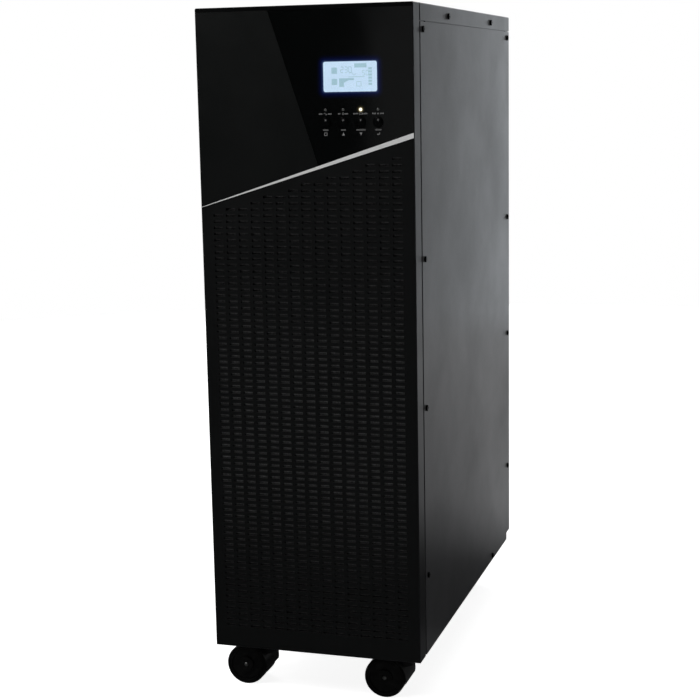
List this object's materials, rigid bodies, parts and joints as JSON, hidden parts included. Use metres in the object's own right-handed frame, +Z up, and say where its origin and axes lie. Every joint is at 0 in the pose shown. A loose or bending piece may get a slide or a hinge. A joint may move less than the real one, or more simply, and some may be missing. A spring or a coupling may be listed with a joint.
{
  "type": "uninterruptible power supply",
  "caption": "Tall black tower uninterruptible power supply on swivel casters, slotted front with slanted silver strip, lit display and push buttons, rear fans and breakers.",
  "frame": {"origin": "on the floor, under the middle of the whole object", "axes": "+X to the right seen from the front, +Y from the display side to the rear, +Z up"},
  "size_m": [0.2555, 0.5497, 0.802],
  "materials": {
    "bezel_plastic": "satin",
    "grille_plastic": "satin",
    "matt_panel": "matte",
    "gloss_acrylic": "gloss",
    "silver": "satin",
    "clear_lens": "gloss",
    "display": "satin",
    "led_lens": "gloss",
    "button_plastic": "gloss",
    "circuit_board": "satin",
    "black_part": "satin",
    "filter_foam": "matte",
    "case_paint": "satin",
    "zinc_steel": "satin",
    "battery_case": "matte",
    "red_insulation": "satin",
    "bare_aluminium": "satin",
    "capacitor_sleeve": "gloss",
    "enamelled_copper": "satin",
    "guard_steel": "satin",
    "breaker_body": "satin",
    "breaker_lever": "satin",
    "brass_stud": "satin",
    "port_steel": "satin",
    "green_plastic": "satin",
    "black_screw": "satin",
    "caster_plastic": "satin",
    "wheel_nylon": "satin"
  },
  "bodies": {
    "cabinet": {"base_pan": "case_paint", "battery_blocks": "battery_case", "battery_links": "red_insulation", "battery_shelf": "zinc_steel", "battery_trays": "zinc_steel", "board_switches": "black_part", "bus_capacitors": "capacitor_sleeve", "bypass_breaker": "breaker_body", "cable_glands": "black_part", "card_slot_cover": "case_paint", "caster_bolts": "zinc_steel", "caster_plates": "zinc_steel", "chokes": "enamelled_copper", "control_board": "circuit_board", "display_fascia": "gloss_acrylic", "dust_filter": "filter_foam", "earth_stud": "brass_stud", "epo_port": "green_plastic", "facet_panel": "matt_panel", "fan_frames": "black_part", "fan_guards": "guard_steel", "front_bezel": "bezel_plastic", "front_frame": "case_paint", "grille_panel": "grille_plastic", "heatsinks": "bare_aluminium", "input_breaker": "breaker_body", "lcd_module": "display", "lcd_window": "clear_lens", "led_lenses": "led_lens", "left_side_panel": "case_paint", "logic_board": "circuit_board", "panel_screws": "black_screw", "power_board": "circuit_board", "power_shelf": "zinc_steel", "rear_panel": "case_paint", "right_side_panel": "case_paint", "serial_port": "port_steel", "silver_trim": "silver", "terminal_block": "black_part", "terminal_cover": "case_paint", "terminal_screws": "zinc_steel", "top_cover": "case_paint", "transistors": "black_part", "usb_port": "port_steel"},
    "escape_button": {"escape_button": "button_plastic"},
    "up_button": {"up_button": "button_plastic"},
    "down_button": {"down_button": "button_plastic"},
    "enter_button": {"enter_button": "button_plastic"},
    "left_fan": {"left_fan_rotor": "black_part"},
    "right_fan": {"right_fan_rotor": "black_part"},
    "input_breaker_lever": {"input_breaker_lever": "breaker_lever"},
    "bypass_breaker_lever": {"bypass_breaker_lever": "breaker_lever"},
    "front_left_swivel": {"front_left_caster_hood": "caster_plastic"},
    "front_right_swivel": {"front_right_caster_hood": "caster_plastic"},
    "rear_left_swivel": {"rear_left_caster_hood": "caster_plastic"},
    "rear_right_swivel": {"rear_right_caster_hood": "caster_plastic"},
    "front_left_wheels": {"front_left_caster_wheels": "wheel_nylon"},
    "front_right_wheels": {"front_right_caster_wheels": "wheel_nylon"},
    "rear_left_wheels": {"rear_left_caster_wheels": "wheel_nylon"},
    "rear_right_wheels": {"rear_right_caster_wheels": "wheel_nylon"}
  },
  "joints": [
    {"name": "escape_button_press", "type": "slide", "parent": "cabinet", "child": "escape_button", "axis": [0, 1, 0], "range_m": [0, 0.001], "stiffness_N_per_m": 300, "springref_m": -0.001},
    {"name": "up_button_press", "type": "slide", "parent": "cabinet", "child": "up_button", "axis": [0, 1, 0], "range_m": [0, 0.001], "stiffness_N_per_m": 300, "springref_m": -0.001},
    {"name": "down_button_press", "type": "slide", "parent": "cabinet", "child": "down_button", "axis": [0, 1, 0], "range_m": [0, 0.001], "stiffness_N_per_m": 300, "springref_m": -0.001},
    {"name": "enter_button_press", "type": "slide", "parent": "cabinet", "child": "enter_button", "axis": [0, 1, 0], "range_m": [0, 0.001], "stiffness_N_per_m": 300, "springref_m": -0.001},
    {"name": "left_fan_spin", "type": "hinge", "parent": "cabinet", "child": "left_fan", "pos_m": [-0.048, 0.22975, 0.703], "axis": [0, 1, 0], "continuous": true},
    {"name": "right_fan_spin", "type": "hinge", "parent": "cabinet", "child": "right_fan", "pos_m": [0.048, 0.22975, 0.703], "axis": [0, 1, 0], "continuous": true},
    {"name": "input_breaker_throw", "type": "hinge", "parent": "cabinet", "child": "input_breaker_lever", "pos_m": [0.04, 0.23875, 0.503], "axis": [1, 0, 0], "range_deg": [-40, 0]},
    {"name": "bypass_breaker_throw", "type": "hinge", "parent": "cabinet", "child": "bypass_breaker_lever", "pos_m": [0.088, 0.23875, 0.503], "axis": [1, 0, 0], "range_deg": [-40, 0]},
    {"name": "front_left_swivel_turn", "type": "hinge", "parent": "cabinet", "child": "front_left_swivel", "pos_m": [-0.087, -0.21225, 0.06], "axis": [0, 0, 1], "continuous": true},
    {"name": "front_left_wheels_roll", "type": "hinge", "parent": "front_left_swivel", "child": "front_left_wheels", "pos_m": [-0.104, -0.21225, 0.0245], "axis": [0, 1, 0], "continuous": true},
    {"name": "front_right_swivel_turn", "type": "hinge", "parent": "cabinet", "child": "front_right_swivel", "pos_m": [0.087, -0.21225, 0.06], "axis": [0, 0, 1], "continuous": true},
    {"name": "front_right_wheels_roll", "type": "hinge", "parent": "front_right_swivel", "child": "front_right_wheels", "pos_m": [0.07, -0.21225, 0.0245], "axis": [0, 1, 0], "continuous": true},
    {"name": "rear_left_swivel_turn", "type": "hinge", "parent": "cabinet", "child": "rear_left_swivel", "pos_m": [-0.087, 0.18575, 0.06], "axis": [0, 0, 1], "continuous": true},
    {"name": "rear_left_wheels_roll", "type": "hinge", "parent": "rear_left_swivel", "child": "rear_left_wheels", "pos_m": [-0.104, 0.18575, 0.0245], "axis": [0, 1, 0], "continuous": true},
    {"name": "rear_right_swivel_turn", "type": "hinge", "parent": "cabinet", "child": "rear_right_swivel", "pos_m": [0.087, 0.18575, 0.06], "axis": [0, 0, 1], "continuous": true},
    {"name": "rear_right_wheels_roll", "type": "hinge", "parent": "rear_right_swivel", "child": "rear_right_wheels", "pos_m": [0.07, 0.18575, 0.0245], "axis": [0, 1, 0], "continuous": true}
  ]
}
